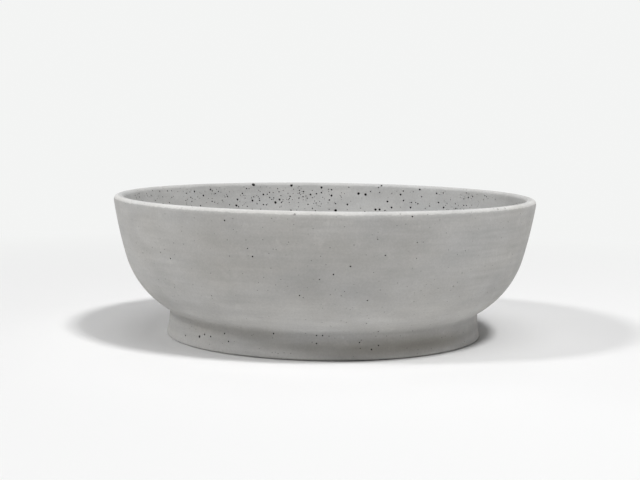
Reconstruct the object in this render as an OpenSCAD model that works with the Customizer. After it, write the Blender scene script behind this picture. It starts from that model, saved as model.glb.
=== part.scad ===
// Low round concrete flower pot: a cast bowl on a flared foot ring, recessed underneath,
// with a rubber stopper in its drain hole and thin pads in pockets under its foot.
// Millimetres, +Z up. The origin is on the table, under the middle of the pot.

/* [Bowl] */
// Outer diameter at the mouth
mouth_d = 260; // [215:1:315]
// Height of the whole pot, from the table to the rim
pot_h = 86; // [71:1:105]
// Thickness of the bowl's wall
wall_t = 6.2; // [5:0.1:8]
// Thickness of the floor
floor_t = 8; // [6:0.1:12]
// Rounding between the inner wall and the floor
floor_round = 20; // [10:1:30]
// Lean of the wall at the rim, from the vertical
rim_lean = 8.5; // [5:0.5:11]
// Lean of the wall where it meets the foot, from the vertical
neck_lean = 60; // [52:1:66]
// Tangent length of the wall's upper curve, which sets how soon the belly turns in
upper_run = 17.5; // [14:0.5:21]
// Rounding of the rim's outer edge
rim_outer_round = 1.9; // [1:0.1:3]
// Rounding of the rim's inner edge
rim_inner_round = 2.6; // [1:0.1:3]

/* [Foot] */
// Diameter of the foot at its base
foot_d = 195; // [160:1:235]
// Height of the foot, from the table to the crease under the bowl
foot_h = 16; // [13.5:0.5:19]
// How far the foot's base stands out past its neck
foot_flare = 1.8; // [0.8:0.1:3]
// Rounding of the crease between bowl and foot
neck_round = 2.5; // [1.5:0.5:5]
// Width of the foot ring at its base
foot_ring_w = 11; // [9:0.5:14]
// Rounding of the foot's edges
foot_edge_round = 1; // [0.5:0.1:1.4]
// How far the recess's roof lies below the crease
recess_drop = 4; // [2:0.5:5]
// Draft of the recess under the pot, from the vertical
recess_draft = 8; // [3:1:15]
// Rounding between the recess's side and its roof
recess_round = 5; // [2:0.5:6]

/* [Drain hole] */
// Diameter of the drain hole
drain_d = 20; // [14:0.5:26]
// Rounding of the drain hole's edges
drain_edge_round = 0.8; // [0.3:0.1:1.2]

/* [Drain plug] */
// Clearance round the stem, at its widest
plug_clearance = 0.1; // [0.05:0.01:0.1]
// How much narrower the stem's tip is than its top, on the radius
plug_taper = 0.8; // [0.3:0.1:1.5]
// How far the stem reaches below the floor's underside
plug_reach = 3; // [1:0.5:4]
// How far the flange covers the floor round the hole
flange_lap = 6; // [4:0.5:9]
// Thickness of the flange
flange_t = 3; // [2:0.1:4]
// Diameter of the stalk that carries the knob
stalk_d = 7; // [5:0.5:7.5]
// Rounding between the stalk and what it joins
stalk_round = 1.5; // [0.8:0.1:1.6]
// Diameter of the knob
knob_d = 14; // [13:0.5:17]
// Height of the stalk and knob, above the flange
knob_h = 11; // [9:0.5:14]
// Radius of the knob's crown
crown_r = 14; // [10:0.5:25]
// Rounding of the knob's edge
knob_edge_round = 2; // [1:0.1:2]
// Rounding of the edges of the flange and the stem
plug_edge_round = 1; // [0.5:0.1:1.4]

/* [Pads] */
// Diameter of a pad
pad_d = 8; // [5:0.5:8.5]
// Thickness of a pad
pad_t = 1; // [0.6:0.1:2]
// How far a pad stands out of its pocket, below the foot
pad_stand = 0.3; // [0.2:0.1:0.5]
// Clearance round a pad in its pocket
pad_clearance = 0.1; // [0.05:0.05:0.2]
// Angle of the pads from the front-to-back line
pad_angle = 45; // [20:1:70]

/* [Hidden] */

// Largest gap between an arc and its chords
chord_gap = 0.02;
// Points nearer than this are one point
same_point = 0.002;
// Flat that stays on the rim between its two roundings
least_flat = 0.5;
$fn = 180;

concrete = [0.66, 0.66, 0.65];
rubber = [0.22, 0.22, 0.22];

mouth_r = mouth_d / 2;
foot_r = foot_d / 2;
neck_r = foot_r - foot_flare;
drain_r = drain_d / 2;
base_z = pad_stand;

// Direction at an angle in the profile's plane, where x is the radius and y the height
function dir(angle) = [cos(angle), sin(angle)];

// Points along an arc, both ends included; a negative radius bends it the other way
function arc(centre, r, from, to) =
    let (step = 2 * acos(1 - chord_gap / abs(r)), n = max(1, ceil(abs(to - from) / step)))
    [for (i = [0 : n]) centre + r * dir(from + (to - from) * i / n)];

// An outline without the points that repeat where two arcs meet
function distinct(points) =
    [for (i = [0 : len(points) - 1])
        if (i == 0 || norm(points[i] - points[i - 1]) > same_point) points[i]];

// A thin wall limits the roundings of the rim.
outer_round = min(rim_outer_round, wall_t / 2);
inner_round = min(rim_inner_round, wall_t / 2 - least_flat);

// The pads' places round the pot: front left, front right, back left, back right
pad_angles = [-90 - pad_angle, -90 + pad_angle, 90 + pad_angle, 90 - pad_angle];

// The bowl's outer wall is two arcs, tangent to the rim's rounding, to each other and to the neck's rounding.
rim_centre = [mouth_r - outer_round, pot_h - outer_round];
wall_top = rim_centre + outer_round * dir(-rim_lean);
neck_tangent = neck_round * tan(neck_lean / 2);
wall_end = [neck_r, foot_h] + neck_tangent * dir(90 - neck_lean);
top_heading = dir(-90 - rim_lean);
end_heading = dir(-90 - neck_lean);
span = wall_end - wall_top;
lower_run = (span * span - 2 * upper_run * (span * top_heading))
    / (2 * (span * end_heading + upper_run * (1 - top_heading * end_heading)));
upper_corner = wall_top + upper_run * top_heading;
lower_corner = wall_end - lower_run * end_heading;
belly_point = (lower_run * upper_corner + upper_run * lower_corner) / (upper_run + lower_run);
belly_heading = lower_corner - upper_corner;
belly_lean = atan2(-belly_heading.x, -belly_heading.y);
upper_r = upper_run / tan((belly_lean - rim_lean) / 2);
lower_r = lower_run / tan((neck_lean - belly_lean) / 2);
upper_centre = wall_top - upper_r * dir(-rim_lean);
lower_centre = belly_point - lower_r * dir(-belly_lean);

// The inner wall keeps the wall's thickness down to the rounding of the floor.
roof_z = foot_h - recess_drop;
floor_z = roof_z + floor_t;
inner_upper_r = upper_r - wall_t;
inner_lower_r = lower_r - wall_t;
lip_reach = inner_upper_r + inner_round;
lip_angle = asin((pot_h - inner_round - upper_centre.y) / lip_reach);
lip_centre = upper_centre + lip_reach * dir(lip_angle);
floor_blend = min(floor_round, inner_lower_r / 2);
blend_reach = inner_lower_r - floor_blend;
blend_angle = asin((floor_z + floor_blend - lower_centre.y) / blend_reach);
blend_centre = lower_centre + blend_reach * dir(blend_angle);

// The foot's side is a hollow arc from the neck down to the rounding of its base.
neck_z = foot_h - neck_tangent;
base_corner = [foot_r - foot_edge_round, base_z + foot_edge_round];
flare_drop = neck_z - base_corner.y;
flare_reach = (foot_flare ^ 2 + flare_drop ^ 2) / (2 * foot_flare);
flare_r = flare_reach - foot_edge_round;
flare_angle = atan2(flare_drop, flare_reach - foot_flare);

// The recess under the pot has a drafted side and a flat roof.
ring_inner_r = foot_r - foot_ring_w;
ring_corner = [ring_inner_r + foot_edge_round, base_z + foot_edge_round];
recess_start = ring_corner + foot_edge_round * dir(180 + recess_draft);
recess_rise = (roof_z - recess_round + recess_round * sin(recess_draft) - recess_start.y) / cos(recess_draft);
recess_corner = recess_start + recess_rise * dir(90 + recess_draft) + recess_round * dir(180 + recess_draft);

// The drain hole's rounded edges
drain_edge_r = drain_r + drain_edge_round;
drain_bottom = [drain_edge_r, roof_z + drain_edge_round];
drain_top = [drain_edge_r, floor_z - drain_edge_round];

pot_outline = distinct(concat(
    arc(rim_centre, outer_round, 90, 0),
    arc(rim_centre, outer_round, 0, -rim_lean),
    arc(upper_centre, upper_r, -rim_lean, -belly_lean),
    arc(lower_centre, lower_r, -belly_lean, -neck_lean),
    arc([neck_r + neck_round, neck_z], neck_round, 180 - neck_lean, 180),
    arc([neck_r + flare_r, neck_z], flare_r, 180, 180 + flare_angle),
    arc(base_corner, foot_edge_round, flare_angle, 0),
    arc(base_corner, foot_edge_round, 0, -90),
    arc(ring_corner, foot_edge_round, 270, 180 + recess_draft),
    arc(recess_corner, recess_round, recess_draft, 90),
    arc(drain_bottom, drain_edge_round, 270, 180),
    arc(drain_top, drain_edge_round, 180, 90),
    arc(blend_centre, floor_blend, -90, blend_angle),
    arc(lower_centre, inner_lower_r, blend_angle, -belly_lean),
    arc(upper_centre, inner_upper_r, -belly_lean, lip_angle),
    arc(lip_centre, inner_round, 180 + lip_angle, 90)
));

// The plug is a tapered stem through the hole, a flange on the floor, and a domed knob on a stalk.
flange_r = drain_r + flange_lap;
flange_top = floor_z + flange_t;
stem_r = drain_r - plug_clearance;
tip_r = stem_r - plug_taper;
tip_z = roof_z - plug_reach;
knob_top = flange_top + knob_h;
crown_centre = [0, knob_top - crown_r];
edge_reach = crown_r - knob_edge_round;
edge_angle = acos((knob_d / 2 - knob_edge_round) / edge_reach);
knob_edge = crown_centre + edge_reach * dir(edge_angle);
stalk_blend = min(stalk_round, knob_d / 2 - knob_edge_round - stalk_d / 2);
stalk_side = stalk_d / 2 + stalk_blend;

plug_outline = distinct(concat(
    [[0, tip_z]],
    arc([tip_r - plug_edge_round, tip_z + plug_edge_round], plug_edge_round, -90, 0),
    [[stem_r, floor_z], [flange_r, floor_z]],
    arc([flange_r - plug_edge_round, flange_top - plug_edge_round], plug_edge_round, 0, 90),
    arc([stalk_side, flange_top + stalk_blend], stalk_blend, 270, 180),
    arc([stalk_side, knob_edge.y - knob_edge_round - stalk_blend], stalk_blend, 180, 90),
    arc(knob_edge, knob_edge_round, -90, 0),
    arc(knob_edge, knob_edge_round, 0, edge_angle),
    arc(crown_centre, crown_r, edge_angle, 90)
));

// A round block under the middle of the foot ring, at an angle round the pot, from the table to a pad's top
module pad_block(angle, d) {
    rotate(angle)
        translate([foot_r - foot_ring_w / 2, 0, 0])
            cylinder(h = pad_t, d = d);
}

// The cast bowl, with a shallow pocket in its foot for each pad
module pot_body() {
    color(concrete)
        difference() {
            rotate_extrude() polygon(pot_outline);
            for (angle = pad_angles) pad_block(angle, pad_d + 2 * pad_clearance);
        }
}

module drain_plug() {
    color(rubber) rotate_extrude() polygon(plug_outline);
}

module front_left_pad() { color(rubber) pad_block(pad_angles[0], pad_d); }
module front_right_pad() { color(rubber) pad_block(pad_angles[1], pad_d); }
module back_left_pad() { color(rubber) pad_block(pad_angles[2], pad_d); }
module back_right_pad() { color(rubber) pad_block(pad_angles[3], pad_d); }

pot_body();
drain_plug();
front_left_pad();
front_right_pad();
back_left_pad();
back_right_pad();
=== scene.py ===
"""Looks of a low concrete flower pot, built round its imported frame. Lengths are in metres."""

import math
from types import SimpleNamespace

import bmesh
import bpy
import numpy as np
from mathutils import Matrix, Vector, noise
from mathutils.bvhtree import BVHTree
from mathutils.geometry import delaunay_2d_cdt


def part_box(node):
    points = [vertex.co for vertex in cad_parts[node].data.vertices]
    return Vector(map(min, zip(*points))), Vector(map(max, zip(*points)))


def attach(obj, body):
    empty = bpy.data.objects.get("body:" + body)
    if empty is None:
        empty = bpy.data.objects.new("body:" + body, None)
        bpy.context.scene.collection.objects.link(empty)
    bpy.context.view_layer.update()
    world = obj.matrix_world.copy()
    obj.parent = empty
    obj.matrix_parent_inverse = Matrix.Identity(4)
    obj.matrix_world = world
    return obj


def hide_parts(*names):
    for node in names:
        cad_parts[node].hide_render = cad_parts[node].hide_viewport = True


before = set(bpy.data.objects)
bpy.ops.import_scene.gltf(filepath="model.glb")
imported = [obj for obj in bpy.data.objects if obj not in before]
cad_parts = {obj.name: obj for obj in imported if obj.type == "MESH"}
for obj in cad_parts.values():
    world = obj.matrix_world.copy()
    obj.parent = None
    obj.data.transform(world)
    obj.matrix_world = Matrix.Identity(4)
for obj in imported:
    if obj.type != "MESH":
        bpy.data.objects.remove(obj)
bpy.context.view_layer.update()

MM = 0.001
FULL_TURN = 2 * math.pi
SEED = 26
PADS = ("front_left_pad", "front_right_pad", "back_left_pad", "back_right_pad")
PAD_BOXES = {pad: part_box(pad) for pad in PADS}

# The photograph's frame, in pixels
PHOTO_W = 640
PHOTO_H = 480
HALF_PIXEL = 0.5

# The camera stands in front of the pot, turned and tilted a little to the left.
CAMERA_DISTANCE = 0.820
CAMERA_HEIGHT = 0.14256
CAMERA_PITCH = math.radians(5.907)
CAMERA_YAW = math.radians(0.191)
CAMERA_ROLL = math.radians(0.736)

# The camera's sensor and lens are in millimetres.
SENSOR_W = 36.0
LENS = 74.28

# The floor fades into the background between these distances from the pot.
FLOOR_RADIUS = 30.0
FLOOR_SIDES = 96
FLOOR_COLOUR = (0.85, 0.85, 0.85, 1)
FADE_START = 0.20
FADE_END = 0.65
BACKGROUND = (0.900, 0.907, 0.900, 1)

# The key lamp: its place, its strength where the pot stands, and its width
KEY_PLACE = (0.877, -1.102, 2.649)
KEY_STRENGTH = 1.83
KEY_WIDTH = 0.50

# Distant lights: azimuth from the camera's side to the right, elevation, strength and width in degrees
SUNS = {
    "fill": (-65, 45, 1.00, 9),
    "top": (0, 75, 0.54, 30),
    "rear_top": (180, 60, 0.18, 30),
    "rear_left": (-111, 12, 0.50, 20),
    "rear_right": (90, 12, 0.18, 20),
}
WORLD_LIGHT = 0.08
WORLD_COLOUR = (1, 1, 1, 1)

# Points of an outline this close are one point. A mesh's own points are welded and cut more finely.
WELD = 0.01 * MM
FINE_WELD = WELD / 10
FINEST_CUT = WELD / 100

# Corners of an outline are rounded in so many steps. A turn this sharp stays an edge, with a short rounding.
CORNER_STEPS = 6
SHARP_TURN = math.radians(40)
SHARP_REACH = 0.25 * MM

# The rim's outer edge is eased in so many points, from a drop below its top to a reach in from its widest.
LIP_DROP = 4.0 * MM
LIP_REACH = 3.4 * MM
LIP_POINTS = 9

# How closely a turned piece follows its outline: row spacing, turn between rows, and columns round it
POT_GRID = SimpleNamespace(step=4.0 * MM, turn=math.radians(10), columns=200)
PLUG_GRID = SimpleNamespace(step=0.4 * MM, turn=math.radians(9), columns=96)
PAD_GRID = SimpleNamespace(step=0.8 * MM, turn=math.radians(15), columns=40)

# Beside a wide pit, columns lie so many times closer, as far as so many of its radii.
FINE_COLUMNS = 6
FINE_REACH = 1.45

# Layers that a turned mesh carries: how dark its pits are painted, for shade and dirt inside them, and the
# map that unrolls it
PIT_SHADE_LAYER = "pore"
MAP_LAYER = "OFBake"

# Pits in the casting. A ring of a pit has a share of its radius, a share of its depth, and its darkness,
# which is painted shade and dirt inside the pit.
# A pit's depth, its uneven edge and the room that it keeps clear are shares of its radius too.
PORE_RINGS = ((1, 0, 0), (0.9, 0.55, 1), (0.6, 1, 1))
PORE = SimpleNamespace(rings=PORE_RINGS, depth=1.8, wobble=0.14, room=1.3, dark=1, points=10)
PIN_HOLE_RINGS = ((1, 0, 0), (0.8, 1, 1))
PIN_HOLE = SimpleNamespace(rings=PIN_HOLE_RINGS, depth=1.6, wobble=0.12, room=1.3, dark=1, points=6)
CHIP_RINGS = ((1, 0, 0), (0.6, 0.8, 0.4))
CHIP = SimpleNamespace(rings=CHIP_RINGS, depth=0.45, wobble=0.3, room=1.3, dark=0.5, points=10)
POCKET_RINGS = ((1, 0, 0), (0.995, 1, 0), (0.5, 1, 0))
POCKET = SimpleNamespace(rings=POCKET_RINGS, depth=0, wobble=0, room=1.06, dark=0, points=40)
POCKET_GAP = 0.1 * MM
WIDE_PORE = 0.4 * MM

# Pores of each stretch of the casting: how many on a square metre, and their least and greatest radius
SCATTER = {
    "under": SimpleNamespace(density=6000, least=0.20 * MM, most=0.80 * MM),
    "foot": SimpleNamespace(density=15000, least=0.20 * MM, most=0.46 * MM),
    "outside": SimpleNamespace(density=6500, least=0.20 * MM, most=0.40 * MM),
    "lining": SimpleNamespace(density=130000, least=0.31 * MM, most=0.62 * MM),
    "floor": SimpleNamespace(density=34000, least=0.31 * MM, most=0.62 * MM),
}

# Scattered pores crowd round an even share by noise of so many waves to the metre. A power makes small ones
# commonest. They keep some room from a bend that turns further than the most.
CROWD_WAVES = 28.0
EVEN_CROWD = 0.5
SMALL_POWER = 2
EDGE_ROOM = 1.2 * MM
MOST_BEND = math.radians(30)

# Pores that stand out in the photograph: pixel across, pixel down, and width in millimetres
SEEN_INSIDE = (
    (253, 184, 2.5), (291, 185, 2.1), (321, 187, 1.6), (210, 189, 1.5), (194, 191, 1.4), (203, 195, 1.5),
    (237, 199, 1.6), (252, 200, 1.6), (236, 205, 1.8), (275, 202, 1.9), (279, 199, 1.5), (263, 194, 1.4),
    (310, 194, 1.4), (331, 195, 1.6), (358, 193, 1.9), (365, 194, 1.9), (335, 210, 2.0), (347, 204, 1.4),
    (375, 209, 1.8), (379, 209, 1.6), (381, 185, 1.4), (387, 201, 1.5), (400, 194, 1.5), (391, 207, 1.5),
    (410, 207, 1.5), (419, 189, 1.5), (443, 207, 1.6), (438, 202, 1.3), (436, 193, 1.3), (403, 200, 1.3),
    (303, 191, 1.1), (242, 193, 1.1), (227, 196, 1.1), (218, 191, 1.0), (215, 193, 1.0), (263, 204, 1.1),
    (152, 190, 1.0), (169, 202, 1.0), (246, 188, 1.0), (269, 192, 1.0), (335, 203, 1.1), (378, 187, 1.0),
    (370, 191, 1.0), (379, 192, 1.0), (415, 202, 1.0), (411, 202, 1.0), (472, 196, 1.1), (466, 205, 1.0),
    (463, 205, 1.0),
)
SEEN_OUTSIDE = (
    (224, 220, 1.0), (412, 216, 1.0), (333, 274, 1.0), (252, 256, 1.0), (247, 248, 0.8), (170, 258, 0.9),
    (299, 295, 0.9), (319, 279, 0.8), (385, 255, 0.9), (350, 266, 0.9), (367, 300, 0.9), (366, 323, 0.9),
    (417, 242, 0.8), (160, 252, 0.8), (174, 287, 0.8),
)
SEEN_ON_FOOT = (
    (199, 336, 1.7), (204, 334, 1.2), (224, 333, 1.1), (228, 341, 1.1), (210, 336, 1.0), (185, 335, 1.0),
    (273, 333, 1.0), (316, 335, 0.9), (322, 335, 0.9), (316, 343, 1.0), (359, 342, 0.9), (371, 349, 1.0),
    (378, 345, 0.9), (378, 331, 1.0),
)
SEEN_CHIPS = ((294, 214, 1.8), (498, 208, 1.6), (505, 207, 1.8))

# Moulded marks in the plug: two rings in its flange, and the gate's dimple in its crown
FLANGE_RINGS = (12.9 * MM, 10.6 * MM)
RING_WIDTH = 0.9 * MM
RING_DEPTH = 0.25 * MM
GATE_WIDTH = 4.0 * MM
GATE_DEPTH = 0.4 * MM

# Layers of noise: waves to the metre, detail, the span that the noise is spread over, a variant that sets it
# apart from other layers, and how many times flatter than wide its waves are
MOTTLE = SimpleNamespace(waves=14, detail=2, span=(0.95, 1.05), variant=0, flat=1)
BLOTCHES = SimpleNamespace(waves=48, detail=4, span=(0.93, 1.07), variant=2, flat=1.8)
STREAKS = SimpleNamespace(waves=24, detail=5, span=(0.91, 1.05), variant=3, flat=15)
STREAK_POWER = SimpleNamespace(waves=16, detail=1, span=(0, 1.2), variant=7, flat=1)
BLOOM = SimpleNamespace(waves=150, detail=3, span=(0, 1), variant=17, flat=1)
SAND = SimpleNamespace(waves=900, detail=2, span=(0.95, 1.05), variant=5, flat=1)
SHADE_PATCHINESS = SimpleNamespace(waves=40, detail=3, span=(0.5, 1.3), variant=19, flat=3)
RAGGED_EDGE = SimpleNamespace(waves=300, detail=2, span=(-0.25 * MM, 0.25 * MM), variant=9, flat=1)
TINT = SimpleNamespace(waves=26, detail=3, span=(0, 1), variant=11, flat=2)
CONCRETE_ROUGHNESS = SimpleNamespace(waves=60, detail=3, span=(0.86, 0.97), variant=13, flat=1)
CONCRETE_RELIEF = SimpleNamespace(waves=1100, detail=3, span=(0, 0.6), variant=15, flat=1)
DUST = SimpleNamespace(waves=180, detail=5, span=(0, 0.35), variant=0, flat=1)
RUBBER_ROUGHNESS = SimpleNamespace(waves=400, detail=3, span=(0.5, 0.72), variant=3, flat=1)
RUBBER_RELIEF = SimpleNamespace(waves=2500, detail=2, span=(0, 1), variant=5, flat=1)

# Noise comes out mostly in this span.
NOISE_SPAN = (0.3, 0.7)

# The concrete's colours outside and inside, and the warm colour of its painted shade patches. The outer ones
# turn into the inner ones on this last share of the outline before the rim's top.
OUTER_COLOURS = ((0.486, 0.483, 0.474, 1), (0.493, 0.484, 0.464, 1))
INNER_COLOURS = ((0.512, 0.515, 0.512, 1), (0.520, 0.515, 0.502, 1))
WARM_SHADE_COLOUR = (0.494, 0.474, 0.436, 1)
RIM_BLEND = 0.01

# Painted shade on the casting's front, darker and warmer: a patch on the middle of the wall, the overhang's
# shadow across the foot, and a patch on the foot's left just under the crease. Each has a middle, a reach on
# each axis, and how much darker it is. A patch is even in its core, which is a share of its reach, and has
# the full warm shade colour where it is darkest.
SHADE_PATCHES = (
    ((-0.030, -0.125, 0.062), (0.110, 0.060, 0.030), 0.07),
    ((0.038, -0.080, 0.0072), (0.085, 0.060, 0.0060), 0.24),
    ((-0.062, -0.074, 0.0135), (0.050, 0.050, 0.0055), 0.10),
)
SHADE_PATCH_CORE = 0.2
DARKEST_SHADE_PATCH = 0.25

# Pale bloom shows where its noise is high. A shade is a factor on the concrete's colour, here and below.
BLOOM_EDGE = (0.75, 0.95)
BLOOM_SHADE = 1.06

# Paler places, each fading over a span: the rim, partly rubbed and partly a painted highlight, over depths
# below its top and, down to a least share, over insets from its widest; painted light on a band above the
# crease over two spans of height, and on the foot's bottom edge over one.
RIM_DEPTHS = (2.0 * MM, 1.5 * MM)
RIM_INSETS = (3.4 * MM, 2.2 * MM)
RIM_LEAST = 0.3
RIM_WEAR_AND_HIGHLIGHT = 1.33
CREASE_RISE = (15.5 * MM, 17.5 * MM)
CREASE_FALL = (21 * MM, 27 * MM)
CREASE_PAINTED_LIGHT = 1.12
BASE_FALL = (3.5 * MM, 7 * MM)
BASE_PAINTED_LIGHT = 1.17

# Fine specks between the pores: cells to the metre, a speck's edge in shares of a cell, and its shade. The
# inside of a pit is darkened too, with painted shade and dirt.
SPECK_CELLS = 260
SPECK_EDGE = (0.047, 0.102)
SPECK_SHADE = 0.45
PIT_PAINTED_SHADE = 0.12

# The rubber's colours, and the gloss and relief of both materials
PLUG_COLOUR = (0.035, 0.035, 0.036, 1)
PAD_COLOUR = (0.05, 0.05, 0.05, 1)
DUST_COLOUR = (0.16, 0.155, 0.15, 1)
CONCRETE_GLOSS = 0.25
RUBBER_GLOSS = 0.4
CONCRETE_BUMP = SimpleNamespace(strength=0.35, depth=0.15 * MM)
RUBBER_BUMP = SimpleNamespace(strength=0.2, depth=0.05 * MM)

# Sockets of a Mix node that carry colours, which only their numbers tell from those that carry other things
MIX_SHARE = 0
MIX_FIRST = 6
MIX_SECOND = 7
MIX_RESULT = 2


def link_object(name, data):
    """A new object in the scene."""
    made = bpy.data.objects.new(name, data)
    bpy.context.scene.collection.objects.link(made)
    return made


def camera_matrix():
    """The camera's place and turn: its roll first, then its pitch and its heading."""
    level = Matrix.Rotation(math.pi / 2 - CAMERA_PITCH, 4, "X")
    turn = Matrix.Rotation(CAMERA_YAW, 4, "Z") @ level @ Matrix.Rotation(CAMERA_ROLL, 4, "Z")
    return Matrix.Translation((0, -CAMERA_DISTANCE, CAMERA_HEIGHT)) @ turn


def make_camera():
    """A camera with the photograph's view."""
    data = bpy.data.cameras.new("camera")
    data.sensor_width = SENSOR_W
    data.lens = LENS
    camera = link_object("camera", data)
    camera.matrix_world = camera_matrix()
    bpy.context.scene.camera = camera


# Outlines of the turned pieces


def in_pocket(point):
    """Whether a point lies on a pad or on the pocket that holds it."""
    for low, high in PAD_BOXES.values():
        if all(low[k] - 2 * POCKET_GAP < point[k] < high[k] + 2 * POCKET_GAP for k in range(3)):
            return True
    return False


def turned_outline(node):
    """A turned node's outline as (radius, height) points, from its bottom, up its outside and back in."""
    # All points turn round the axis into one plane, where those that meet become one.
    folded = bmesh.new()
    folded.from_mesh(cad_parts[node].data)
    bmesh.ops.delete(folded, geom=[v for v in folded.verts if in_pocket(v.co)], context="VERTS")
    for vertex in folded.verts:
        vertex.co = (math.hypot(vertex.co.x, vertex.co.y), 0, vertex.co.z)
    bmesh.ops.remove_doubles(folded, verts=folded.verts[:], dist=WELD)
    # The outline then follows the edges from its lowest end or, in a ring, from its innermost point.
    ends = [v for v in folded.verts if len(v.link_edges) == 1]
    if ends:
        start = min(ends, key=lambda v: v.co.z)
    else:
        start = min(folded.verts, key=lambda v: (round(v.co.x / WELD), v.co.z))
    path = [start, min((e.other_vert(start) for e in start.link_edges), key=lambda v: v.co.z)]
    while path[-1] is not start:
        ahead = [e.other_vert(path[-1]) for e in path[-1].link_edges]
        ahead = [v for v in ahead if v is not path[-2]]
        if not ahead:
            break
        path.append(ahead[0])
    points = [np.array((v.co.x, v.co.z)) for v in path]
    folded.free()
    if ends and points[0][0] > WELD:
        points.insert(0, np.array((0, points[0][1])))
    return points


def pad_outline(pad):
    """A pad's outline as (radius, height) points, from its own box."""
    low, high = PAD_BOXES[pad]
    radius = (high[0] - low[0]) / 2
    return [np.array(p) for p in ((0, low[2]), (radius, low[2]), (radius, high[2]), (0, high[2]))]


def parabola(start, corner, end, count):
    """Points of a curve that leaves its start towards a corner, and comes to its end from there."""
    steps = np.linspace(0, 1, count)
    return [(1 - t) ** 2 * start + 2 * t * (1 - t) * corner + t * t * end for t in steps]


def eased_lip(points):
    """The pot's outline with a softer outer edge on its rim, which curves from the wall to the top."""
    radii, heights = np.array(points).T
    top = heights.max()
    after = np.flatnonzero(heights > top - LIP_DROP)[0]
    below, above = points[after - 1], points[after]
    start = below + (above - below) * (top - LIP_DROP - below[1]) / (above[1] - below[1])
    corner = start + (above - below) * LIP_DROP / (above[1] - below[1])
    end = np.array((radii.max() - LIP_REACH, top))
    inner = np.flatnonzero((radii < end[0]) & (heights > top - LIP_DROP))[0]
    return points[:after] + parabola(start, corner, end, LIP_POINTS) + points[inner:]


def rounded(points):
    """A smooth line along an outline: each corner becomes a short parabola."""
    smooth = [points[0]]
    for before, corner, after in zip(points, points[1:], points[2:]):
        back, ahead = before - corner, after - corner
        lengths = np.hypot(*back), np.hypot(*ahead)
        reach = min(lengths) / 2
        turn = math.acos(np.clip(-(back @ ahead) / (lengths[0] * lengths[1]), -1, 1))
        if turn > SHARP_TURN:
            reach = min(reach, SHARP_REACH)
        start, end = corner + back * reach / lengths[0], corner + ahead * reach / lengths[1]
        smooth += parabola(start, corner, end, CORNER_STEPS + 1)
    smooth.append(points[-1])
    return np.array(smooth)


def surface_line(outline, grid):
    """A smooth outline: distances along it, with its radius, height, heading and the rows of its mesh."""
    points = rounded(outline)
    sides = np.diff(points, axis=0)
    lengths = np.hypot(*sides.T)
    kept = lengths > FINE_WELD
    points = np.vstack((points[:-1][kept], points[-1:]))
    sides, lengths = sides[kept], lengths[kept]
    along = np.concatenate(([0], np.cumsum(lengths)))
    headings = np.unwrap(np.arctan2(sides[:, 1], sides[:, 0]))
    # A row is spent on each step of length and on each turn, which two sides share.
    turns = np.abs(np.diff(headings))
    cost = lengths / grid.step
    cost[:-1] += turns / grid.turn / 2
    cost[1:] += turns / grid.turn / 2
    spent = np.concatenate(([0], np.cumsum(cost)))
    return SimpleNamespace(
        along=along,
        radius=points[:, 0],
        height=points[:, 1],
        middles=(along[1:] + along[:-1]) / 2,
        headings=headings,
        rows=np.interp(np.linspace(0, spent[-1], math.ceil(spent[-1]) + 1), spent, along),
        length=along[-1],
    )


def radius_at(line, along):
    """Radius of a line at distances along it."""
    return np.interp(along, line.along, line.radius)


def height_at(line, along):
    """Height of a line at distances along it."""
    return np.interp(along, line.along, line.height)


def heading_at(line, along):
    """Heading of a line at distances along it."""
    return np.interp(along, line.middles, line.headings)


def lift(line, angle, along, depth):
    """Points of the surface that a line sweeps round the axis, sunk by a depth. Its ends stay on the axis."""
    heading = heading_at(line, along)
    level = radius_at(line, along)
    radius = np.where(level > WELD, level - depth * np.sin(heading), 0)
    height = height_at(line, along) + depth * np.cos(heading)
    return np.column_stack((-radius * np.sin(angle), radius * np.cos(angle), height))


def nearest_place(line, point):
    """Angle round the axis, and distance along the line, of the surface point nearest to a point."""
    along = np.arange(0, line.length, WELD)
    outward = radius_at(line, along) - math.hypot(point[0], point[1])
    upward = height_at(line, along) - point[2]
    return math.atan2(-point[0], point[1]) % FULL_TURN, along[np.hypot(outward, upward).argmin()]


def stretches(line):
    """Ends of the pot's stretches along its line, by the names and in the order that the scatter has."""
    rim = line.along[line.height.argmax()]
    low = line.height < line.height.max() / 2
    outer = np.flatnonzero((line.along < rim) & low)
    base = outer[line.height[outer] < line.height.min() + WELD][-1]
    neck = base + line.radius[base:outer[-1]].argmin()
    deep = np.flatnonzero((line.along > rim) & low)[0]
    marks = (0, line.along[base], line.along[neck], rim, line.along[deep], line.length)
    return dict(zip(SCATTER, zip(marks, marks[1:])))


# Pits in the casting


def make_pit(kind, angle, place, size, depth=None):
    """A pit at an angle round the axis and a place along the line, with its radius, depth and clear room."""
    return SimpleNamespace(
        kind=kind,
        angle=angle,
        place=place,
        size=size,
        depth=depth or kind.depth * size,
        room=kind.room * size,
    )


def make_pore(angle, place, size):
    """A pore, or a plainer pin hole if it is small."""
    return make_pit(PORE if size > WIDE_PORE else PIN_HOLE, angle, place, size)


def pad_pockets(line):
    """The pockets that hold the pads, from the pads' own boxes."""
    base = line.height.min()
    for low, high in PAD_BOXES.values():
        middle = ((low[0] + high[0]) / 2, (low[1] + high[1]) / 2, base)
        angle, place = nearest_place(line, middle)
        yield make_pit(POCKET, angle, place, (high[0] - low[0]) / 2 + POCKET_GAP, high[2] - base)


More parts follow.
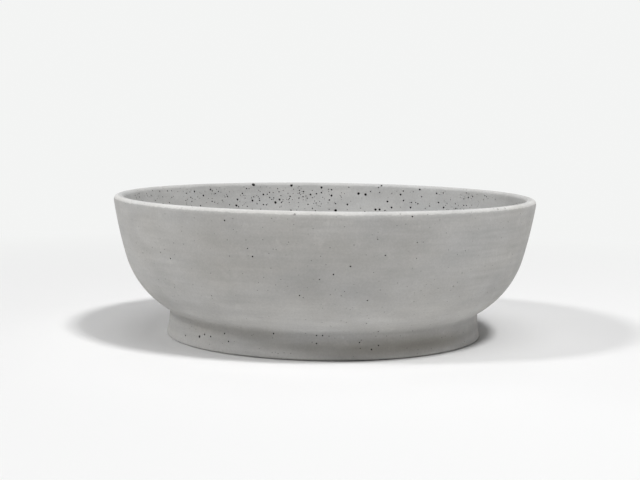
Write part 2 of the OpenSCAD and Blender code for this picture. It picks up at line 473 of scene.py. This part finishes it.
def seen_places(line, spots):
    """Places on the casting that pixels of the photograph show, with sizes, found along the camera's rays."""
    tree = BVHTree.FromObject(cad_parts["pot_body"], bpy.context.evaluated_depsgraph_get())
    camera = camera_matrix()
    focal = LENS / SENSOR_W * PHOTO_W
    for across, down, width in spots:
        right = across + HALF_PIXEL - PHOTO_W / 2
        up = PHOTO_H / 2 - down - HALF_PIXEL
        ray = Vector((right, up, -focal)).normalized()
        hit = tree.ray_cast(camera.translation, camera.to_3x3() @ ray)[0]
        yield *nearest_place(line, hit), width / 2 * MM


def bend(line, place, reach):
    """How far the line's heading turns within a reach of a place."""
    start, end = heading_at(line, (place - reach, place + reach))
    return abs(end - start)


def scattered_pores(line, chance):
    """Pores at random places off sharp bends, thicker where a slow noise is high, small ones commonest."""
    widest = line.radius.max()
    for name, (start, end) in stretches(line).items():
        kind = SCATTER[name]
        count = int(kind.density * FULL_TURN * widest * (end - start))
        angles = chance.uniform(0, FULL_TURN, count)
        places = chance.uniform(start, end, count)
        sizes = kind.least * (kind.most / kind.least) ** chance.uniform(0, 1, count) ** SMALL_POWER
        shares = chance.uniform(0, 1, count)
        points = lift(line, angles, places, 0)
        for angle, place, size, share, point in zip(angles, places, sizes, shares, points):
            crowd = EVEN_CROWD + noise.noise(Vector(point) * CROWD_WAVES)
            pore = make_pore(angle, place, size)
            wanted = share < radius_at(line, place) / widest * crowd
            if wanted and bend(line, place, pore.room + EDGE_ROOM) < MOST_BEND:
                yield pore


def spaced(line, pits):
    """The pits that keep clear of the seams and of every pit before them."""
    kept = []
    for pit in pits:
        radius = radius_at(line, pit.place)
        if not pit.room < pit.angle * radius < FULL_TURN * radius - pit.room:
            continue
        if not pit.room < pit.place < line.length - pit.room:
            continue
        near = [other for other in kept if abs(pit.place - other.place) < pit.room + other.room]
        if all(
            math.hypot((pit.angle - other.angle) * radius, pit.place - other.place) > pit.room + other.room
            for other in near
        ):
            kept.append(pit)
    return kept


def pit_points(line, pits, chance):
    """Points of every pit as (angle, along, depth, darkness), and the edges of its rings."""
    points, edges = [], []
    for pit in pits:
        kind = pit.kind
        reaches = pit.size * chance.uniform(1 - kind.wobble, 1 + kind.wobble, kind.points)
        turns = np.linspace(0, FULL_TURN, kind.points, endpoint=False)
        for share, sunk, dark in kind.rings:
            first = len(points)
            for k, (turn, reach) in enumerate(zip(turns, reaches * share)):
                along = pit.place + reach * math.sin(turn)
                angle = pit.angle + reach * math.cos(turn) / radius_at(line, along)
                points.append((angle, along, pit.depth * sunk, dark))
                edges.append((first + k, first + (k + 1) % kind.points))
        points.append((pit.angle, pit.place, pit.depth, kind.dark))
    return points, edges


# Meshes


def grid_points(line, grid, pits):
    """Points of the plain mesh that lie clear of every pit, with closer columns beside a wide pit."""
    angles = np.linspace(0, FULL_TURN, grid.columns * FINE_COLUMNS + 1)
    kept = np.zeros((len(angles), len(line.rows)), bool)
    kept[::FINE_COLUMNS] = True
    for pit in pits:
        if pit.size > grid.step:
            reach = FINE_REACH * pit.size
            beside = np.abs(angles - pit.angle) * radius_at(line, pit.place) < reach
            kept[np.ix_(beside, np.abs(line.rows - pit.place) < reach)] = True
    for pit in pits:
        radius = radius_at(line, pit.place)
        for row in np.flatnonzero(np.abs(line.rows - pit.place) < pit.room):
            gaps = np.hypot((angles - pit.angle) * radius, line.rows[row] - pit.place)
            kept[:, row] &= gaps > pit.room
    columns, rows = np.nonzero(kept)
    return np.column_stack((angles[columns], line.rows[rows], np.zeros((len(rows), 2))))


def turned_mesh(name, line, grid, pits=(), chance=None, carve=None):
    """A mesh swept round the axis, with pits cut into it. Its map unrolls it."""
    # A point is an angle, a distance along the line, a depth and a darkness. Triangles join the points on the
    # unrolled map, and the mesh is then rolled up and welded.
    rings, edges = pit_points(line, pits, chance)
    points = np.vstack((np.array(rings).reshape(-1, 4), grid_points(line, grid, pits)))
    flat = [Vector((angle * line.radius.max(), along)) for angle, along in points[:, :2]]
    _, _, faces, origins, _, _ = delaunay_2d_cdt(flat, edges, [], 0, FINEST_CUT)
    points = points[[origin[0] for origin in origins]]
    if carve:
        points[:, 2] += carve(line, points[:, 1])
    mesh = bpy.data.meshes.new(name)
    mesh.from_pydata(lift(line, *points[:, :3].T).tolist(), [], [list(face) for face in faces])
    dark = mesh.attributes.new(PIT_SHADE_LAYER, "FLOAT", "POINT")
    dark.data.foreach_set("value", points[:, 3].astype(np.float32))
    corners = np.empty(len(mesh.loops), np.int32)
    mesh.loops.foreach_get("vertex_index", corners)
    unrolled = points[corners, :2] / (FULL_TURN, line.length)
    mesh.uv_layers.new(name=MAP_LAYER).uv.foreach_set("vector", unrolled.astype(np.float32).ravel())
    welded = bmesh.new()
    welded.from_mesh(mesh)
    bmesh.ops.remove_doubles(welded, verts=welded.verts[:], dist=FINE_WELD)
    welded.to_mesh(mesh)
    welded.free()
    mesh.shade_smooth()
    mesh.set_sharp_from_angle(angle=SHARP_TURN)
    return mesh


def hollow(off, width, depth):
    """Depth of a rounded hollow at distances from its middle."""
    return np.clip(1 - (off / (width / 2)) ** 2, 0, 1) * depth


def moulded_marks(line, along):
    """Depth of the plug's moulded marks at distances along its line."""
    depth = hollow(line.length - along, GATE_WIDTH, GATE_DEPTH)
    steps = np.arange(0, line.length, WELD)
    for ring in FLANGE_RINGS:
        middle = steps[radius_at(line, steps) > ring][-1]
        depth += hollow(along - middle, RING_WIDTH, RING_DEPTH)
    return depth


def make_piece(name, mesh, material, body, node):
    """A visible piece that rides on a body and stands for a node."""
    mesh.materials.append(material)
    piece = link_object(name, mesh)
    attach(piece, body)
    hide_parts(node)


def make_pot():
    """The casting, with its pad pockets, the pores that the photograph shows, and scattered ones."""
    chance = np.random.default_rng(SEED)
    line = surface_line(eased_lip(turned_outline("pot_body")), POT_GRID)
    pits = list(pad_pockets(line))
    pits += [make_pore(*spot) for spot in seen_places(line, SEEN_INSIDE + SEEN_OUTSIDE + SEEN_ON_FOOT)]
    pits += [make_pit(CHIP, *spot) for spot in seen_places(line, SEEN_CHIPS)]
    pits += scattered_pores(line, chance)
    mesh = turned_mesh("concrete_pot", line, POT_GRID, spaced(line, pits), chance)
    material = concrete_material(stretches(line)["lining"][0] / line.length)
    make_piece("concrete_pot", mesh, material, "pot", "pot_body")


def make_plug():
    """The stopper, with its moulded marks."""
    line = surface_line(turned_outline("drain_plug"), PLUG_GRID)
    mesh = turned_mesh("rubber_plug", line, PLUG_GRID, carve=moulded_marks)
    material = rubber_material("plug_rubber_look", PLUG_COLOUR)
    make_piece("rubber_plug", mesh, material, "plug", "drain_plug")


def make_pads():
    """The four pads under the foot."""
    material = rubber_material("pad_rubber_look", PAD_COLOUR)
    for pad in PADS:
        mesh = turned_mesh("rubber_" + pad, surface_line(pad_outline(pad), PAD_GRID), PAD_GRID)
        low, high = PAD_BOXES[pad]
        mesh.transform(Matrix.Translation(((low[0] + high[0]) / 2, (low[1] + high[1]) / 2, 0)))
        make_piece("rubber_" + pad, mesh, material, "pot", pad)


# Shader nodes


def set_inputs(tree, node, inputs):
    """Sets a node's inputs to values, or links them to the sockets that feed them."""
    for name, value in inputs.items():
        if isinstance(value, bpy.types.NodeSocket):
            tree.links.new(value, node.inputs[name])
        else:
            node.inputs[name].default_value = value


def add_node(tree, kind, inputs, **settings):
    """A new shader node with its settings and inputs."""
    made = tree.nodes.new(kind)
    for name, value in settings.items():
        setattr(made, name, value)
    set_inputs(tree, made, inputs)
    return made


def new_material(name):
    """A new material, with its node tree and its shader."""
    material = bpy.data.materials.new(name)
    material.use_nodes = True
    tree = material.node_tree
    return material, tree, tree.nodes["Principled BSDF"]


def object_place(tree):
    """Where a surface point lies on its object."""
    return add_node(tree, "ShaderNodeTexCoord", {}).outputs["Object"]


def part_of(tree, vector, axis):
    """One axis of a vector."""
    return add_node(tree, "ShaderNodeSeparateXYZ", {"Vector": vector}).outputs[axis]


def length_of(tree, vector):
    """A vector's length."""
    return add_node(tree, "ShaderNodeVectorMath", {0: vector}, operation="LENGTH").outputs["Value"]


def vector_value(tree, operation, first, second):
    """Two vectors combined, axis by axis."""
    return add_node(tree, "ShaderNodeVectorMath", {0: first, 1: second}, operation=operation).outputs[0]


def math_value(tree, operation, first, second):
    """Two numbers combined."""
    return add_node(tree, "ShaderNodeMath", {0: first, 1: second}, operation=operation).outputs[0]


def combined(tree, operation, *values):
    """Any number of numbers combined, one after another."""
    total = values[0]
    for value in values[1:]:
        total = math_value(tree, operation, total, value)
    return total


def product(tree, *values):
    """Any number of numbers multiplied."""
    return combined(tree, "MULTIPLY", *values)


def remap(tree, value, span, target):
    """A value moved from one span to another, and held inside it."""
    inputs = {
        "Value": value,
        "From Min": span[0],
        "From Max": span[1],
        "To Min": target[0],
        "To Max": target[1],
    }
    return add_node(tree, "ShaderNodeMapRange", inputs).outputs["Result"]


def noise_value(tree, place, layer):
    """A layer of noise, spread over its span."""
    inputs = {
        "Vector": vector_value(tree, "MULTIPLY", place, (1, 1, layer.flat)),
        "W": layer.variant,
        "Scale": layer.waves,
        "Detail": layer.detail,
    }
    wave = add_node(tree, "ShaderNodeTexNoise", inputs, noise_dimensions="4D")
    return remap(tree, wave.outputs[0], NOISE_SPAN, layer.span)


def blend_colours(tree, share, first, second):
    """A share of the way from one colour to another."""
    inputs = {MIX_SHARE: share, MIX_FIRST: first, MIX_SECOND: second}
    return add_node(tree, "ShaderNodeMix", inputs, data_type="RGBA").outputs[MIX_RESULT]


def scaled_colour(tree, colour, factor):
    """A colour made brighter or darker."""
    return add_node(tree, "ShaderNodeVectorMath", {0: colour, "Scale": factor}, operation="SCALE").outputs[0]


def bumped(tree, relief, bump):
    """Normals of a surface with fine relief."""
    inputs = {"Strength": bump.strength, "Distance": bump.depth, "Height": relief}
    return add_node(tree, "ShaderNodeBump", inputs).outputs["Normal"]


# Materials


def near_spot(tree, place, spot, reach):
    """1 round a spot, falling to 0 at its reach on each axis."""
    off = vector_value(tree, "SUBTRACT", place, spot)
    distance = length_of(tree, vector_value(tree, "DIVIDE", off, reach))
    return remap(tree, distance, (SHADE_PATCH_CORE, 1), (1, 0))


def concrete_shades(tree, place):
    """Light and dark of the casting's skin: mottle, blotches, level streaks, pale bloom and sand grain."""
    streaks = noise_value(tree, place, STREAKS)
    return product(
        tree,
        noise_value(tree, place, MOTTLE),
        noise_value(tree, place, BLOTCHES),
        math_value(tree, "POWER", streaks, noise_value(tree, place, STREAK_POWER)),
        remap(tree, noise_value(tree, place, BLOOM), BLOOM_EDGE, (1, BLOOM_SHADE)),
        noise_value(tree, place, SAND),
    )


def painted_shade_patches(tree, place):
    """How much darker the casting is painted for its patches of shade, from 0."""
    patchy = noise_value(tree, place, SHADE_PATCHINESS)
    painted_shade = [
        product(tree, near_spot(tree, place, spot, reach), patchy, depth)
        for spot, reach, depth in SHADE_PATCHES
    ]
    return combined(tree, "ADD", *painted_shade)


def rubbed_rim_and_painted_light(tree, place):
    """Paler in places: the rim's outer edge, partly rubbed and partly a painted highlight, and painted light
    on a band above the crease and on the foot's bottom edge.
    """
    widest, _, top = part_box("pot_body")[1]
    height = part_of(tree, place, "Z")
    radius = length_of(tree, vector_value(tree, "MULTIPLY", place, (1, 1, 0)))
    ragged = math_value(tree, "ADD", height, noise_value(tree, place, RAGGED_EDGE))
    on_top = remap(tree, ragged, [top - depth for depth in RIM_DEPTHS], (0, 1))
    on_edge = remap(tree, radius, [widest - inset for inset in RIM_INSETS], (RIM_LEAST, 1))
    rising = remap(tree, height, CREASE_RISE, (0, 1))
    falling = remap(tree, height, CREASE_FALL, (1, 0))
    return product(
        tree,
        # The rim's outer edge: partly rubbed, partly a painted highlight
        remap(tree, product(tree, on_top, on_edge), (0, 1), (1, RIM_WEAR_AND_HIGHLIGHT)),
        # Painted light from the floor's bounce on a band above the crease
        remap(tree, product(tree, rising, falling), (0, 1), (1, CREASE_PAINTED_LIGHT)),
        # Painted light on the foot's bottom edge, which flares up towards the lamps
        remap(tree, height, BASE_FALL, (BASE_PAINTED_LIGHT, 1)),
    )


def concrete_material(rim_place):
    """Cast concrete. Past the rim's place on the unrolled map is the inside, which is paler and greyer."""
    material, tree, shader = new_material("cast_concrete")
    place = object_place(tree)
    unrolled = add_node(tree, "ShaderNodeUVMap", {}, uv_map=MAP_LAYER).outputs["UV"]
    inside = remap(tree, part_of(tree, unrolled, "Y"), (rim_place - RIM_BLEND, rim_place), (0, 1))
    cells = add_node(tree, "ShaderNodeTexVoronoi", {"Vector": place, "Scale": SPECK_CELLS})
    specks = remap(tree, cells.outputs["Distance"], SPECK_EDGE, (SPECK_SHADE, 1))
    pore = add_node(tree, "ShaderNodeAttribute", {}, attribute_name=PIT_SHADE_LAYER).outputs["Fac"]
    tint = noise_value(tree, place, TINT)
    # Painted shade patches: darker and warmer on the wall's front, across the foot under the overhang, and
    # under the crease
    painted_shade = painted_shade_patches(tree, place)
    outer = blend_colours(tree, tint, *OUTER_COLOURS)
    outer = blend_colours(tree, remap(tree, painted_shade, (0, DARKEST_SHADE_PATCH), (0, 1)), outer, WARM_SHADE_COLOUR)
    inner = blend_colours(tree, tint, *INNER_COLOURS)
    brightness = product(
        tree,
        concrete_shades(tree, place),
        rubbed_rim_and_painted_light(tree, place),
        remap(tree, painted_shade, (0, 1), (1, 0)),
        specks,
        # Painted shade and dirt inside the pits
        remap(tree, pore, (0, 1), (1, PIT_PAINTED_SHADE)),
    )
    relief = math_value(tree, "ADD", noise_value(tree, place, CONCRETE_RELIEF), specks)
    inputs = {
        "Base Color": scaled_colour(tree, blend_colours(tree, inside, outer, inner), brightness),
        "Roughness": noise_value(tree, place, CONCRETE_ROUGHNESS),
        "Specular IOR Level": CONCRETE_GLOSS,
        "Normal": bumped(tree, relief, CONCRETE_BUMP),
    }
    set_inputs(tree, shader, inputs)
    return material


def rubber_material(name, dark):
    """Moulded rubber: dark, with a fine matte skin and a little dust."""
    material, tree, shader = new_material(name)
    place = object_place(tree)
    inputs = {
        "Base Color": blend_colours(tree, noise_value(tree, place, DUST), dark, DUST_COLOUR),
        "Roughness": noise_value(tree, place, RUBBER_ROUGHNESS),
        "Specular IOR Level": RUBBER_GLOSS,
        "Normal": bumped(tree, noise_value(tree, place, RUBBER_RELIEF), RUBBER_BUMP),
    }
    set_inputs(tree, shader, inputs)
    return material


# Stage and light


def seen_rays(tree):
    """1 for rays that show a surface to the camera, directly, in a mirror or through glass."""
    rays = add_node(tree, "ShaderNodeLightPath", {}).outputs
    kinds = ("Is Camera Ray", "Is Glossy Ray", "Is Transmission Ray")
    return combined(tree, "MAXIMUM", *(rays[kind] for kind in kinds))


def mix_shaders(tree, share, first, second):
    """A share of the way from one shader node to another."""
    inputs = {0: share, 1: first.outputs[0], 2: second.outputs[0]}
    return add_node(tree, "ShaderNodeMixShader", inputs).outputs[0]


def make_floor():
    """A wide pale floor that keeps the pot's shadow and fades into the background away from it."""
    mesh = bpy.data.meshes.new("floor")
    shape = bmesh.new()
    bmesh.ops.create_circle(shape, cap_ends=True, segments=FLOOR_SIDES, radius=FLOOR_RADIUS)
    shape.to_mesh(mesh)
    shape.free()
    material, tree, shader = new_material("floor_paper")
    set_inputs(tree, shader, {"Base Color": FLOOR_COLOUR, "Roughness": 1, "Specular IOR Level": 0})
    fade = remap(tree, length_of(tree, object_place(tree)), (FADE_START, FADE_END), (0, 1))
    far = add_node(tree, "ShaderNodeEmission", {"Color": BACKGROUND, "Strength": 1})
    surface = mix_shaders(tree, product(tree, fade, seen_rays(tree)), shader, far)
    set_inputs(tree, tree.nodes["Material Output"], {"Surface": surface})
    mesh.materials.append(material)
    link_object("floor", mesh)


def make_key():
    """A round lamp that faces the pot."""
    data = bpy.data.lights.new("key", "AREA")
    data.shape = "DISK"
    data.size = KEY_WIDTH
    place = Vector(KEY_PLACE)
    data.energy = KEY_STRENGTH * math.pi * place.length_squared
    lamp = link_object("key", data)
    lamp.matrix_world = Matrix.Translation(place) @ place.to_track_quat("Z", "Y").to_matrix().to_4x4()
    lamp.visible_camera = False


def make_sun(name, azimuth, elevation, strength, width):
    """A soft light from a direction: azimuth 0 is the camera's side, and grows to the right."""
    data = bpy.data.lights.new(name, "SUN")
    data.energy = strength
    data.angle = math.radians(width)
    turn = Matrix.Rotation(math.radians(azimuth), 4, "Z")
    link_object(name, data).matrix_world = turn @ Matrix.Rotation(math.radians(90 - elevation), 4, "X")


def make_world():
    """A pale background where it is seen, and an even light on the object."""
    world = bpy.data.worlds.new("studio")
    world.use_nodes = True
    bpy.context.scene.world = world
    tree = world.node_tree
    light = tree.nodes["Background"]
    set_inputs(tree, light, {"Color": WORLD_COLOUR, "Strength": WORLD_LIGHT})
    seen = add_node(tree, "ShaderNodeBackground", {"Color": BACKGROUND, "Strength": 1})
    surface = mix_shaders(tree, seen_rays(tree), light, seen)
    set_inputs(tree, tree.nodes["World Output"], {"Surface": surface})


bpy.context.scene.view_settings.view_transform = "Standard"
make_camera()
make_floor()
make_key()
for sun_name, sun_values in SUNS.items():
    make_sun(sun_name, *sun_values)
make_world()
make_pot()
make_plug()
make_pads()
